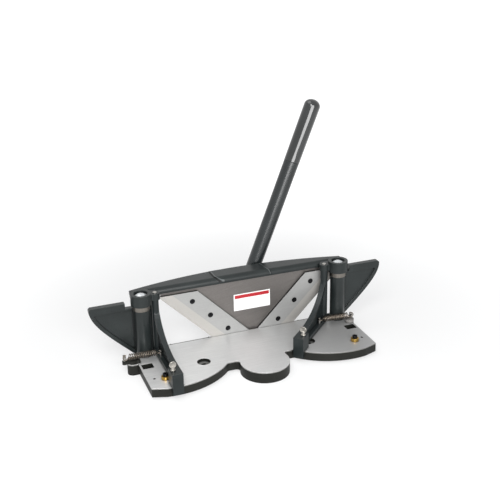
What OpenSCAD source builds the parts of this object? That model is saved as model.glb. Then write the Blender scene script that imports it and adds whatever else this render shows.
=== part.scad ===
// Mitre guillotine: a bench trimmer whose two 45 degree blades slide sideways behind a small table.
// Origin: on the bench, midway between the two posts. +X right, +Y to the rear, +Z up.

/* [Table] */
// Half of the table's width at its straight sides
table_half_w = 227; // [222:1:240]
// Depth from the post axis to the table's outer front corners
table_corner_y = 131.5; // [128:0.5:136]
// Height of the ground table top above the bench
table_z = 22.5; // [21.5:0.5:26]
// Gap under the painted apron
apron_gap = 4.4; // [2:0.2:6]
// Thickness of the table plate over its underside pockets
table_plate_t = 9; // [7:0.5:12]
// Radius of the round front foot
front_foot_r = 47.5; // [40:0.5:52]
// Depth from the post axis to the middle of the front foot
front_foot_y = 112.5; // [106:0.5:118]
// Depth from the post axis to the straight notch beside the front foot
notch_y = 94; // [88:0.5:96]
// Radius of the notch's corners
notch_r = 7; // [4:0.5:8]

/* [Bench bolts] */
// Distance between the two bench bolt holes
bench_bolt_spacing = 218; // [200:1:226]
// Depth from the post axis to the bench bolt holes
bench_bolt_y = 72.5; // [70:0.5:76]
// Radius of a bench bolt hole
bench_bolt_r = 5.25; // [3:0.25:6.5]
// Radius of the counterbore over a bench bolt hole
bench_bore_r = 13; // [9:0.5:14]
// Depth of that counterbore
bench_bore_depth = 6; // [3:0.5:7]

/* [Posts and guards] */
// Distance between the two post axes
post_spacing = 412; // [410:1:416]
// Radius of a painted post
post_r = 15.3; // [13:0.1:16]
// Height of the bare ring seat above the table top
post_h = 97; // [90:0.5:110]
// Radius of the spigot on top of a post
spigot_r = 10; // [7:0.5:11]
// Radius of the bare metal ring under a collar
ring_r = 16.8; // [15:0.1:18]
// Height of that ring
ring_h = 10; // [6:0.5:14]
// Half of the width over both blade guards
guard_half_w = 305; // [295:1:330]
// Thickness of a guard's web
guard_web_t = 4; // [3:0.5:5]
// Depth of a guard's rim, front to back
guard_rim_d = 11; // [8:0.5:11]
// Width of a guard's rim along its lower edge
guard_rim_w = 7; // [4:0.5:10]
// Height of a guard's top rail, over the field below it
rail_h = 15; // [11:0.5:18]

/* [Top beam] */
// Height of a collar
collar_h = 22.5; // [20:0.5:28]
// Outer radius of a collar
collar_r = 20; // [18:0.25:20.25]
// Thickness of the bowed plate between the collars
beam_t = 12; // [11:0.5:14]
// Front edge of the bowed plate
beam_front_y = 15; // [12:0.5:18]
// Rear edge of the bowed plate at its middle
beam_rear_y = 58; // [54:0.5:59]
// How far the rear edge bows from its ends to its middle
beam_bow = 26; // [8:0.5:28]
// Radius of the round along the plate's front edge
beam_nose_r = 9; // [5:0.5:11]
// Height of the raised pad in the middle of the plate
beam_pad_h = 1.5; // [1:0.5:2]
// Half of the pad's width at its rear
beam_pad_half_w = 55; // [40:1:70]

/* [Carriage and blades] */
// How far the carriage stands to the right of the middle at rest
carriage_shift = 26.9; // [0:0.1:60]
// Greatest travel of the carriage to each side
carriage_travel = 85; // [60:1:90]
// Thickness of the carriage plate
carriage_t = 12; // [9:0.5:14]
// Half of the width over both blades' top corners
blade_half_w = 194.5; // [180:0.5:196]
// Width of a blade along its top edge
blade_w = 79.5; // [60:0.5:90]
// Thickness of a blade
blade_t = 6; // [4:0.5:6.5]
// How far a blade's cutting edge stands past the carriage
blade_overhang = 6; // [5:0.5:8]
// How far below the table top a blade's foot reaches
blade_drop = 0.9; // [0.5:0.1:3]
// Radius of a blade screw's head
blade_head_r = 5.3; // [4:0.1:6.5]
// Radius of a blade screw's shank
blade_shank_r = 3; // [2:0.25:3.5]
// Distance between neighbouring blade screws, sideways and upwards
blade_screw_step = 36; // [25:0.5:38]
// Distance sideways from a blade's inner edge to its screws
blade_screw_inset = 32; // [20:0.5:50]
// Height of the lowest blade screw over the blade's foot
blade_screw_low = 13.8; // [8:0.2:16]
// Width of the blank plate on the carriage
plate_w = 78; // [50:1:90]
// Height of the blank plate
plate_h = 36; // [20:1:40]
// Thickness of the blank plate
plate_t = 0.6; // [0.4:0.1:1.5]

/* [Lever and gearing] */
// Lean of the lever to the right at rest
lever_lean = 22; // [0:1:40]
// Height of the lever's pivot above the bench
pivot_z = 26; // [25:0.5:28]
// Radius of the pivot stud
stud_r = 8; // [6:0.5:9]
// Module of the gear teeth
gear_module = 2.5; // [2:0.5:2.5]
// Teeth in the quadrant's full circle
gear_teeth = 80; // [79:1:80]
// Thickness of the quadrant
quadrant_t = 9; // [6:0.5:9]
// Backlash between the quadrant and the rack
backlash = 0.5; // [0.3:0.05:0.8]
// Distance from the pivot to the grip's lower end
bar_reach = 350; // [250:1:420]
// Length of the grip
grip_length = 130; // [80:1:140]
// Radius of the bar at its lower end
bar_r_low = 14.5; // [10:0.1:14.5]
// Radius of the bar and the grip where they meet
bar_r_high = 15.7; // [12:0.1:18]
// Radius of the grip at its domed end
grip_end_r = 16.2; // [12:0.1:19]

/* [Fences] */
// Distance sideways between a post's axis and its fence's pivot
post_to_pivot = 28.5; // [28:0.5:29]
// Depth of the fence pivots behind the post axis
fence_pivot_y = 5; // [3:0.5:6]
// Radius of a fence pivot pin
fence_pin_r = 4; // [2.5:0.25:5]
// Length of a fence from its pivot to its front face
fence_reach = 156; // [152:0.5:160]
// Height of a fence above the table
fence_h = 110; // [90:1:112]
// Distance from the pivot to the fence's flat face
fence_face = 5.6; // [4:0.2:7]
// Thickness of the fence's web
fence_web_t = 5; // [3:0.5:6]
// Width of the flange along the curved edge
fence_flange_w = 10.6; // [8:0.2:13]
// Width of the rail along the foot of a fence
fence_rail_w = 14; // [11:0.5:14]
// Height of that rail
fence_rail_h = 8; // [5:0.5:10]
// Width of the clamp foot
fence_foot_w = 20.6; // [16:0.2:22]
// Height of the clamp foot above the table
fence_foot_h = 30; // [24:0.5:32]
// How far the clamp foot hangs below the table top
fence_foot_drop = 12.5; // [8:0.5:16]
// Right fence's angle from the table's front-to-rear line
right_fence_angle = 45; // [15:1:45]
// Radius of a brass stop
stop_r = 7.8; // [6:0.1:9]
// Height of a brass stop
stop_h = 6; // [4:0.5:8]
// Distance from a fence's front face back to its brass stop
stop_back = 45; // [42:1:56]

/* [Clamp screws and springs] */
// Radius of a thumbscrew's round blade
thumb_r = 6.6; // [5:0.1:9]
// Thickness of that blade
thumb_t = 3; // [2:0.5:4]
// Radius of a thumbscrew's stem
thumb_stem_r = 3; // [2:0.25:3.5]
// Radius of a spring's coils, to the wire's centre
coil_r = 5.8; // [4.5:0.1:6]
// Radius of the spring wire
wire_r = 0.8; // [0.5:0.05:0.9]
// Curls in a spring
spring_curls = 16; // [10:1:16]
// Radius of the loop at a spring's end
loop_r = 5.2; // [4:0.1:5.4]

/* [Fits] */
// Clearance of a running bore over its shaft, in radius
running_fit = 0.06; // [0.02:0.01:0.1]
// Clearance of a fixed or loose fit, in radius
loose_fit = 0.1; // [0.05:0.05:0.2]
// Gap between sliding or passing faces
slide_gap = 0.3; // [0.2:0.05:0.5]

/* [Hidden] */
$fn = 96;
eps = 0.01;
corner_steps = 8;

// Heights of the main levels
post_top_z = table_z + post_h;
collar_z = post_top_z + ring_h;
collar_top_z = collar_z + collar_h;
beam_top_z = collar_top_z - 3.5;
beam_z = beam_top_z - beam_t;
plate_bottom_z = table_z - table_plate_t;
post_x = post_spacing / 2;

// Stations of the parts behind the table, from front to rear
table_rear_y = 18;
channel_foot_y = -9;
blade_front_y = table_rear_y + 0.5;
carriage_front_y = blade_front_y + blade_t;
carriage_rear_y = carriage_front_y + carriage_t;
gib_t = 3;
gib_rear_y = carriage_rear_y + 2 * loose_fit + gib_t;
channel_rear_y = gib_rear_y + 8;
bracket_front_y = carriage_rear_y + 1.5;
bracket_rear_y = bracket_front_y + 12;
quadrant_front_y = bracket_rear_y + 1;
quadrant_rear_y = quadrant_front_y + quadrant_t;
hub_front_y = quadrant_rear_y;
hub_rear_y = hub_front_y + 2 * bar_r_low + 2;
bar_y = (hub_front_y + hub_rear_y) / 2;

// Plan of the table's rear part, and the slots beside the springs with their thin outer walls
table_rear_half_w = post_x + 16;
side_slot_x = table_rear_half_w - 20;
side_slot_wall = 3.5;
side_slot_front_y = -57.5;
side_slot_rear_y = -39;

// The groove under the carriage and the one in the beam above it
channel_floor_z = 3.6;
channel_half_w = 176;
channel_front_z = table_z - 5.5;
channel_wall_z = 7.4;
carriage_z = channel_floor_z + slide_gap;
carriage_top_z = beam_z + 4.2;
beam_groove_z = carriage_top_z + slide_gap + 0.2;

// Blades: a parallelogram at 45 degrees on each side of the carriage
blade_z = table_z - blade_drop;
blade_top_z = collar_z - 1.6;
blade_rise = blade_top_z - blade_z;
blade_foot_x = blade_half_w - blade_w - blade_rise;

// Gearing: pitch radius, tooth proportions and the rack's level
pitch_r = gear_module * gear_teeth / 2;
addendum = gear_module;
dedendum = 1.25 * gear_module;
tooth_pitch = PI * gear_module;
rack_pitch_z = pivot_z + pitch_r;
rack_root_z = rack_pitch_z + dedendum;
rack_top_z = beam_z - 1;
rack_carrier_z = rack_root_z - 17;
rack_half_w = carriage_travel + 13;
pressure_angle = 20;
quadrant_first_tooth = -13;
quadrant_last_tooth = 10;
// The rack is a fraction of a tooth off its own middle, so that it meshes at rest
rack_phase = pitch_r * lever_lean * PI / 180 - carriage_shift;

// Lever
stud_head_r = stud_r + 4;
bush_r = stud_r + 3;
hub_r = 21;
bar_shoulder = 34;
bar_offset = 5.6;
bar_spigot_r = 10;

// Fences
fence_pivot_x = post_x - post_to_pivot;
fence_z = table_z + slide_gap;
fence_top_z = table_z + fence_h;
fence_barrel_r = 7.5;
fence_rear = 5;
foot_length = 30;
foot_lip_t = 7.5;
// The table's front lobes follow the clamp feet as these swing
lobe_r = fence_reach - foot_lip_t - 1;
curve_reach = 116;
flange_t = 5;
thumb_x = 9;
thumb_forward = fence_reach - 16;
ear_r = 9.5;
ear_z = fence_top_z + 0.6;
stop_x = fence_pivot_x + fence_rail_w - fence_face + stop_r + 0.05;
stop_y = fence_pivot_y - fence_reach + stop_back;

// Springs: their anchors on the table's side lugs and on the fences
left_lug_x = table_rear_half_w + 13;
left_lug_y = -23;
left_lug_r = 11;
right_lug_x = table_rear_half_w;
right_lug_y = -27;
right_lug_r = 8.7;
lug_top_z = table_z + 7;
spring_z = 38.2;
left_anchor_x = left_lug_x + 16;
right_anchor_x = right_lug_x + 3.5;
anchor_y = -29;
anchor_pin_r = 2.5;
hook_neck_r = 1.5;
anchor_post_r = 2.9;
hook_post_r = 2.5;
anchor_post_back = 5;
anchor_arm_r = 4.6;
anchor_depth = 6;
hook_x = 4;
hook_forward = 35;
hook_pin_half = 3.5;

// ---------------------------------------------------------------- helpers

// Both sides of the machine: the right one, and the left one mirrored
module both_sides() {
  children();
  mirror([1, 0, 0]) children();
}

// A bar between two corners
module block(low, high) {
  translate(low) cube(high - low);
}

// A cylinder along Y from y0 to y1, at x, z
module rod_y(r, x, z, y0, y1) {
  translate([x, y1, z]) rotate([90, 0, 0]) cylinder(r = r, h = y1 - y0);
}

// A socket cap screw pointing down from its head's top at the origin
module socket_screw(head_r, head_h, shank_r, length) {
  socket_r = head_r * 0.5;
  difference() {
    union() {
      translate([0, 0, -head_h]) cylinder(r = head_r, h = head_h);
      translate([0, 0, -length]) cylinder(r = shank_r, h = length - head_h + eps);
    }
    translate([0, 0, -head_h * 0.55]) cylinder(r = socket_r, h = head_h, $fn = 6);
  }
}

// Turns about the lever's pivot, from upright to the lean at rest
module lean_lever() {
  translate([0, 0, pivot_z]) rotate([0, lever_lean, 0]) children();
}

// Places the right fence's own frame: pivot at the origin, fence along -Y
module place_right(angle = 0) {
  translate([fence_pivot_x, fence_pivot_y, 0]) rotate([0, 0, -angle]) children();
}

// The left fence is the mirror image, square to the blades
module place_left() {
  mirror([1, 0, 0]) place_right() children();
}

// ---------------------------------------------------------------- base

// Points round a hollow corner, starting just inside the round that it runs into
function hollow_corner(centre, from_angle, to_angle) = [
  for (i = [0 : corner_steps])
    let (a = from_angle + (to_angle - from_angle) * i / corner_steps, r = i == 0 ? notch_r + 0.3 : notch_r)
      centre + r * [cos(a), sin(a)]
];

// Right half of the table top in plan, without the front foot
module table_half_plan() {
  foot_side_x = sqrt(pow(front_foot_r + notch_r, 2) - pow(front_foot_y - notch_y - notch_r, 2));
  lobe_dy = fence_pivot_y + notch_y + notch_r;
  lobe_side_x = fence_pivot_x - sqrt(pow(lobe_r + notch_r, 2) - pow(lobe_dy, 2));
  foot_corner = [foot_side_x, -notch_y - notch_r];
  lobe_corner = [lobe_side_x, -notch_y - notch_r];
  foot_angle = 360 + atan2(foot_corner[1] + front_foot_y, foot_corner[0]) - 180;
  lobe_angle = atan2(fence_pivot_y - lobe_corner[1], fence_pivot_x - lobe_corner[0]);
  front_x = 200;
  front_y = fence_pivot_y - sqrt(pow(lobe_r, 2) - pow(front_x - fence_pivot_x, 2));
  // Side part with its slanted front corner, narrower behind the slot
  polygon([
    [0, table_rear_y], [table_rear_half_w, table_rear_y],
    [table_rear_half_w, side_slot_rear_y + side_slot_wall], [table_half_w, side_slot_rear_y + side_slot_wall],
    [table_half_w, -table_corner_y], [front_x, front_y], [fence_pivot_x, -notch_y], [0, -notch_y]
  ]);
  // Round lobe that the clamp foot follows
  intersection() {
    translate([fence_pivot_x, fence_pivot_y]) circle(r = lobe_r, $fn = 180);
    translate([0, -200]) square([front_x, 200]);
  }
  // Hollow corners beside the front foot and beside the lobe
  polygon(concat([[0, -notch_y + 1], [0, -front_foot_y]], hollow_corner(foot_corner, foot_angle, 90),
    [[foot_side_x, -notch_y + 1]]));
  polygon(concat([[lobe_side_x, -notch_y + 1], [fence_pivot_x, fence_pivot_y]],
    hollow_corner(lobe_corner, lobe_angle, 90)));
}

// Pockets under half of the table that leave ribs between them
module table_half_pockets() {
  pocket_h = plate_bottom_z - apron_gap;
  rib = 8;
  wide = 46;
  step = wide + rib;
  row_front = -52;
  row_rear = -10;
  row_d = row_rear - row_front;
  for (i = [0 : 2]) {
    translate([rib / 2 + i * step, row_front, apron_gap - eps]) cube([wide, row_d, pocket_h + eps]);
  }
  translate([rib / 2 + 3 * step, row_front, apron_gap - eps]) cube([34, row_d, pocket_h + eps]);
  translate([rib / 2, -90, apron_gap - eps]) cube([wide, 30, pocket_h + eps]);
  translate([138, -118, apron_gap - eps]) cube([wide, 58, pocket_h + eps]);
}

// Right half of the base's solid
module base_half_solid() {
  translate([0, 0, apron_gap]) linear_extrude(table_z - apron_gap) table_half_plan();
  // Channel that the carriage slides in, and the foot under it
  block([0, channel_foot_y, 0], [channel_half_w, channel_rear_y, channel_wall_z]);
  block([0, channel_foot_y, 0], [channel_half_w, carriage_front_y - loose_fit, channel_front_z]);
}

// Left side lug: a foot with an arm that holds the spring's anchor
module left_lug() {
  arm_z = table_z;
  arm_h = lug_top_z - arm_z;
  boss_x = -left_lug_x;
  front_y = left_lug_y - left_lug_r;
  rear_y = left_lug_y + left_lug_r;
  arm_y = anchor_y + anchor_post_back;
  translate([boss_x, left_lug_y, 0]) cylinder(r = left_lug_r, h = lug_top_z);
  block([boss_x, front_y, 0], [-table_rear_half_w + 6, rear_y, table_z]);
  block([boss_x, front_y + 2, 0], [-table_rear_half_w, rear_y - 2, lug_top_z]);
  translate([-left_anchor_x, arm_y, arm_z]) cylinder(r = anchor_arm_r, h = arm_h);
  block([-left_anchor_x, arm_y - anchor_arm_r, arm_z], [boss_x, arm_y + anchor_arm_r, lug_top_z]);
}

// Right side lug: a smaller round foot at the table's edge
module right_lug() {
  translate([right_lug_x, right_lug_y, 0]) cylinder(r = right_lug_r, h = lug_top_z);
}

module base_half_cuts() {
  table_half_pockets();
  // Channel
  block([-eps, carriage_front_y - loose_fit, channel_floor_z], [channel_half_w + 1, gib_rear_y, table_z]);
  // Bench bolt
  translate([bench_bolt_spacing / 2, -bench_bolt_y, 0]) {
    translate([0, 0, -eps]) cylinder(r = bench_bolt_r, h = table_z + 1);
    translate([0, 0, table_z - bench_bore_depth]) cylinder(r = bench_bore_r, h = bench_bore_depth + 1);
  }
  // Fence pivot pin
  translate([fence_pivot_x, fence_pivot_y, -eps]) cylinder(r = fence_pin_r + loose_fit, h = table_z + 1);
  // Bolt that holds a post, with its head's counterbore
  translate([post_x, 0, -eps]) cylinder(r = post_bolt_r + 1, h = table_z + 1);
  translate([post_x, 0, -eps]) cylinder(r = post_bolt_head_r + 1, h = plate_bottom_z + eps);
  // Screw of the brass stop
  translate([stop_x, stop_y, -eps]) cylinder(r = stop_screw_r + loose_fit, h = table_z + 1);
  // Slot beside the spring
  block(
    [side_slot_x, side_slot_front_y, -eps],
    [table_half_w - side_slot_wall, side_slot_rear_y, table_z + 1]
  );
  // Spare stop hole
  translate([213, -99, table_z - 8]) cylinder(r = 2.5, h = 9);
  // Gib screws, from the rear
  for (x = gib_screw_xs) rod_y(gib_screw_r + loose_fit, x, gib_screw_z, gib_rear_y - 1, channel_rear_y + 1);
  // Bracket screws
  for (x = bracket_screw_xs) {
    translate([x, bracket_screw_y, -eps]) cylinder(r = bracket_screw_r + loose_fit, h = 20);
  }
}

module base_table() {
  color([0.62, 0.62, 0.6]) difference() {
    union() {
      both_sides() base_half_solid();
      translate([0, -front_foot_y, 0]) cylinder(r = front_foot_r, h = table_z);
      left_lug();
      right_lug();
    }
    both_sides() base_half_cuts();
    // Spring anchors
    for (x = [-left_anchor_x, right_anchor_x]) {
      translate([x, anchor_y + anchor_post_back, lug_top_z - anchor_depth - 0.2]) {
        cylinder(r = anchor_post_r + loose_fit, h = anchor_depth + 1);
      }
    }
  }
}

// ---------------------------------------------------------------- posts, guards and beam

post_bolt_r = 5;
post_bolt_head_r = 8.5;
post_bolt_reach = 40;
stop_screw_r = 2.5;
stop_screw_length = 26;
gib_screw_xs = [60, 140];
gib_screw_r = 1.5;
gib_screw_z = 5.4;
bracket_screw_xs = [30];
bracket_screw_r = 2;
bracket_screw_y = 43.6;

guard_top_z = post_top_z + 13.5;
guard_ledge_z = post_top_z + 2;
guard_web_top_z = guard_top_z - rail_h;

// The guard's lower edge from the foot of the post to the tip: a curve drawn by four points
guard_pull = [
  [post_x + 20, table_z + 4], [post_x + 56, table_z + 38.5],
  [guard_half_w + 1, table_z + 77.5], [guard_half_w, table_z + 105.5]
];
function guard_edge(t) = pow(1 - t, 3) * guard_pull[0] + 3 * t * pow(1 - t, 2) * guard_pull[1]
  + 3 * t * t * (1 - t) * guard_pull[2] + pow(t, 3) * guard_pull[3];
function guard_slope(t) = pow(1 - t, 2) * (guard_pull[1] - guard_pull[0])
  + 2 * t * (1 - t) * (guard_pull[2] - guard_pull[1]) + t * t * (guard_pull[3] - guard_pull[2]);
// Direction from that edge into the guard
function guard_inward(t) = let (s = guard_slope(t)) [-s[1], s[0]] / norm(s);
guard_steps = 16;

module guard_outline() {
  root_x = post_x + 13;
  tip_r = 5;
  polygon(concat(
    [[root_x, table_z]],
    [for (i = [0 : guard_steps]) guard_edge(i / guard_steps)],
    [for (a = [15 : 15 : 90]) [guard_half_w - tip_r + tip_r * cos(a), guard_top_z - tip_r + tip_r * sin(a)]],
    [[root_x, guard_top_z]]
  ));
}

// The field inside the rim, under the rail
module guard_field() {
  inner = [
    for (i = [0 : guard_steps])
      let (t = i / guard_steps, p = guard_edge(t) + guard_rim_w * guard_inward(t))
        if (p[1] < guard_web_top_z - 1) p
  ];
  last = inner[len(inner) - 1];
  polygon(concat(inner, [[last[0] + 0.5, guard_web_top_z], [inner[0][0], guard_web_top_z]]));
}

guard_y = 6;
pillar_x = 180;
pillar_w = 8.5;
pillar_front_y = 13.2;
pillar_rear_y = table_rear_y - 0.5;

module side_post() {
  guard_web_y = guard_y + 4;
  notch_x = post_x + 30;
  difference() {
    union() {
      difference() {
        // Guard: a web inside a deeper rim
        plate_y(guard_y, guard_y + guard_rim_d) guard_outline();
        plate_y(guard_y - 5, guard_web_y) guard_field();
        plate_y(guard_web_y + guard_web_t, guard_y + 20) guard_field();
        // Step from the rail down to the ledge by the post
        block([post_x, guard_y - 5, guard_ledge_z], [notch_x, guard_y + 20, guard_top_z + 5]);
        // Room round the bare ring
        translate([post_x, 0, post_top_z]) cylinder(r = ring_r + slide_gap, h = ring_h);
      }
      translate([post_x, 0, table_z]) cylinder(r = post_r, h = post_h);
      // Leg behind the post that stands on the table
      block([post_x + 6, guard_y, table_z], [table_rear_half_w, guard_y + guard_rim_d, guard_ledge_z - 8]);
      // Pillar under the beam's ear, behind the fence's pivot, and its foot
      block([pillar_x, pillar_front_y, table_z], [pillar_x + pillar_w, pillar_rear_y, ear_z]);
      block([pillar_x, pillar_front_y, table_z], [post_x, pillar_rear_y, table_z + 4.5]);
    }
    translate([post_x, 0, table_z - eps]) cylinder(r = post_bolt_r + loose_fit, h = post_bolt_reach + 5);
  }
  translate([post_x, 0, post_top_z - eps]) cylinder(r = spigot_r, h = ring_h + collar_h - 8);
}

module side_post_left() {
  color([0.2, 0.24, 0.24]) mirror([1, 0, 0]) side_post();
}

module side_post_right() {
  color([0.2, 0.24, 0.24]) side_post();
}

module post_rings() {
  color([0.7, 0.7, 0.68]) both_sides() translate([post_x, 0, post_top_z]) difference() {
    cylinder(r = ring_r, h = ring_h);
    translate([0, 0, -1]) cylinder(r = spigot_r + loose_fit, h = ring_h + 2);
  }
}

module post_bolts() {
  head_h = 6.5;
  color([0.15, 0.15, 0.15]) both_sides() translate([post_x, 0, plate_bottom_z]) {
    translate([0, 0, -head_h]) cylinder(r = post_bolt_head_r, h = head_h, $fn = 6);
    translate([0, 0, -eps]) cylinder(r = post_bolt_r, h = table_plate_t + post_bolt_reach);
  }
}

// Plan of the bowed plate
module beam_plan() {
  half_w = post_x + 16;
  bow_r = (pow(post_x, 2) + pow(beam_bow, 2)) / (2 * beam_bow);
  intersection() {
    translate([0, beam_rear_y - bow_r]) circle(r = bow_r, $fn = 360);
    translate([-half_w, beam_front_y]) square([2 * half_w, 60]);
  }
}

// The beam seen from its end, drawn out by some width at its front and top: depth and height
module beam_section(out) {
  front_y = beam_front_y - out;
  top_z = beam_top_z + out;
  nose_r = beam_nose_r + out;
  polygon(concat(
    [[beam_rear_y + 5, top_z], [beam_rear_y + 5, beam_z], [front_y, beam_z]],
    [for (i = [0 : corner_steps]) let (a = 180 - 90 * i / corner_steps)
      [front_y + nose_r + nose_r * cos(a), top_z - nose_r + nose_r * sin(a)]]
  ));
}

// Plan of the raised pad: its left side sweeps round into its lower front edge
module beam_pad_plan() {
  rear_y = beam_rear_y - 4;
  front_y = beam_front_y - beam_pad_h - 1;
  sweep_w = 18;
  sweep_d = 16;
  polygon(concat(
    [[beam_pad_half_w + 2, rear_y], [-beam_pad_half_w + 2, rear_y]],
    [for (i = [0 : corner_steps]) let (a = 90 * i / corner_steps)
      [-beam_pad_half_w + 3 + sweep_w * (1 - cos(a)), front_y + sweep_d * (1 - sin(a))]],
    [[beam_pad_half_w + 11, front_y], [beam_pad_half_w + 3, beam_front_y + 4]]
  ));
}

// Ear on the collar's inner side that holds the fence's pivot pin
module beam_ear() {
  translate([fence_pivot_x, fence_pivot_y, ear_z]) cylinder(r = ear_r, h = beam_top_z - 2 - ear_z);
  block([fence_pivot_x, fence_pivot_y - 8, ear_z], [post_x - 10, fence_pivot_y + 8, beam_top_z - 2]);
  block([fence_pivot_x - 4, fence_pivot_y, beam_z], [post_x, beam_front_y + 4, beam_top_z - 2]);
}

module top_beam() {
  recess_h = 7;
  recess_r = 13.5;
  color([0.2, 0.24, 0.24]) difference() {
    union() {
      intersection() {
        translate([0, 0, beam_z - 1]) linear_extrude(beam_t + 5) beam_plan();
        plate_x(-post_x - 20, post_x + 20) beam_section(0);
      }
      // Raised pad in the middle
      intersection() {
        translate([0, 0, beam_z + 3.7]) linear_extrude(beam_t) beam_pad_plan();
        plate_x(-post_x, post_x) beam_section(beam_pad_h);
      }
      both_sides() {
        translate([post_x, 0, collar_z]) cylinder(r = collar_r, h = collar_h);
        beam_ear();
      }
    }
    // Groove that guides the carriage's top edge
    block(
      [-post_x - 40, carriage_front_y - loose_fit, beam_z - 1],
      [post_x + 40, carriage_rear_y + loose_fit, beam_groove_z]
    );
    both_sides() {
      translate([post_x, 0, collar_z - 20]) cylinder(r = spigot_r + loose_fit, h = 21 + collar_h);
      translate([post_x, 0, collar_top_z - recess_h]) cylinder(r = recess_r, h = recess_h + 1);
      translate([fence_pivot_x, fence_pivot_y, ear_z - 1]) cylinder(r = fence_pin_r + loose_fit, h = 40);
    }
  }
}

// Domed caps that hold the beam down, seated in the collars' recesses
module cap_bolts() {
  cap_r = 12.2;
  dome_foot_r = 11.4;
  dome_r = 16;
  rim_h = 2;
  seat_z = collar_top_z - 7;
  color([0.35, 0.38, 0.38]) both_sides() translate([post_x, 0, seat_z]) {
    cylinder(r = cap_r, h = rim_h);
    intersection() {
      translate([0, 0, rim_h - sqrt(pow(dome_r, 2) - pow(dome_foot_r, 2))]) sphere(r = dome_r);
      translate([-dome_r, -dome_r, rim_h - 1]) cube(2 * dome_r);
    }
  }
}

module fence_pivot_pins() {
  color([0.75, 0.75, 0.75]) both_sides() translate([fence_pivot_x, fence_pivot_y, apron_gap + 2]) {
    cylinder(r = fence_pin_r, h = beam_top_z - 1 - apron_gap - 2);
  }
}

module brass_stops() {
  color([0.75, 0.55, 0.2]) both_sides() translate([stop_x, stop_y, table_z]) difference() {
    cylinder(r = stop_r, h = stop_h);
    translate([0, 0, -1]) cylinder(r = stop_screw_r + loose_fit, h = stop_h + 2);
  }
}

module stop_screws() {
  color([0.08, 0.08, 0.08]) both_sides() translate([stop_x, stop_y, table_z + stop_h + 5]) {
    socket_screw(5, 5, stop_screw_r, stop_screw_length);
  }
}

// A post with a cross pin that holds a spring's loop, drawn with the loop's centre at the origin
module hook_post(drop, back) {
  translate([0, back, -drop]) cylinder(r = anchor_post_r, h = drop + anchor_post_r);
  rod_y(anchor_pin_r, 0, 0, -hook_pin_half, back);
}

module spring_anchors() {
  color([0.6, 0.6, 0.58]) for (x = [-left_anchor_x, right_anchor_x]) {
    translate([x, anchor_y, spring_z]) hook_post(spring_z - lug_top_z + anchor_depth, anchor_post_back);
  }
}

// ---------------------------------------------------------------- lever pivot and carriage guides

module lever_bracket() {
  boss_r = 17;
  foot_half_w = 38;
  color([0.2, 0.24, 0.24]) difference() {
    union() {
      rod_y(boss_r, 0, pivot_z, bracket_front_y, bracket_rear_y);
      block([-boss_r, bracket_front_y, channel_wall_z], [boss_r, bracket_rear_y, pivot_z]);
      block([-foot_half_w, gib_rear_y, channel_wall_z], [foot_half_w, channel_rear_y, channel_wall_z + 6]);
    }
    rod_y(stud_r + loose_fit, 0, pivot_z, bracket_front_y - 1, bracket_rear_y + 1);
    rod_y(stud_head_r + loose_fit, 0, pivot_z, bracket_front_y - 1, bracket_front_y + 4);
    for (x = bracket_screw_xs) both_sides() {
      translate([x, bracket_screw_y, 0]) cylinder(r = bracket_screw_r + loose_fit, h = 40);
    }
  }
}

module bracket_screws() {
  color([0.1, 0.1, 0.1]) both_sides() for (x = bracket_screw_xs) {
    translate([x, bracket_screw_y, channel_wall_z + 10]) socket_screw(3.6, 4, bracket_screw_r, 16);
  }
}

module pivot_stud() {
  color([0.7, 0.7, 0.7]) {
    rod_y(stud_r, 0, pivot_z, bracket_front_y + 2, hub_rear_y + 13);
    rod_y(stud_head_r, 0, pivot_z, bracket_front_y + 0.2, bracket_front_y + 4);
  }
}

washer_t = 2.5;

module pivot_washer() {
  color([0.7, 0.7, 0.7]) difference() {
    rod_y(17, 0, pivot_z, hub_rear_y + slide_gap, hub_rear_y + slide_gap + washer_t);
    rod_y(stud_r + loose_fit, 0, pivot_z, hub_rear_y - 1, hub_rear_y + 10);
  }
}

module pivot_nut() {
  nut_y = hub_rear_y + slide_gap + washer_t;
  color([0.6, 0.6, 0.6]) difference() {
    translate([0, nut_y + 8, pivot_z]) rotate([90, 0, 0]) cylinder(r = 14, h = 8, $fn = 6);
    rod_y(stud_r + loose_fit, 0, pivot_z, nut_y - 1, nut_y + 12);
  }
}

module gib_strip() {
  color([0.7, 0.55, 0.25]) {
    block(
      [-channel_half_w, gib_rear_y - gib_t, channel_floor_z],
      [channel_half_w, gib_rear_y, channel_wall_z]
    );
  }
}

module gib_screws() {
  color([0.1, 0.1, 0.1]) both_sides() for (x = gib_screw_xs) {
    rod_y(gib_screw_r, x, gib_screw_z, gib_rear_y, channel_rear_y + 3);
  }
}

// ---------------------------------------------------------------- carriage

// Moves with the carriage: drawn about its own middle, shifted at rest
module on_carriage() {
  translate([carriage_shift, 0, 0]) children();
}

// Turns a drawing in Y and Z into a bar between two stations along X
module plate_x(x0, x1) {
  translate([x0, 0, 0]) rotate([90, 0, 90]) linear_extrude(x1 - x0) children();
}

// Turns a plan in X and Z into a plate between two stations along Y
module plate_y(y0, y1) {
  translate([0, y1, 0]) rotate([90, 0, 0]) linear_extrude(y1 - y0) children();
}

module blade_carriage() {
  edge_x = blade_half_w - blade_overhang;
  foot_x = edge_x - (blade_top_z - carriage_z);
  color([0.55, 0.52, 0.48]) on_carriage() difference() {
    plate_y(carriage_front_y, carriage_rear_y) polygon([
      [-edge_x, carriage_top_z], [edge_x, carriage_top_z], [edge_x, blade_top_z],
      [foot_x, carriage_z], [-foot_x, carriage_z], [-edge_x, blade_top_z]
    ]);
    both_sides() for (i = [0 : 2]) {
      p = blade_screw_place(i);
      rod_y(blade_shank_r + loose_fit, p[0], p[1], carriage_front_y - 1, carriage_rear_y + 1);
    }
    for (x = rack_screw_xs) {
      rod_y(rack_screw_r + loose_fit, x, rack_screw_z, carriage_rear_y - 9, carriage_rear_y + 1);
    }
  }
}

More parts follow.
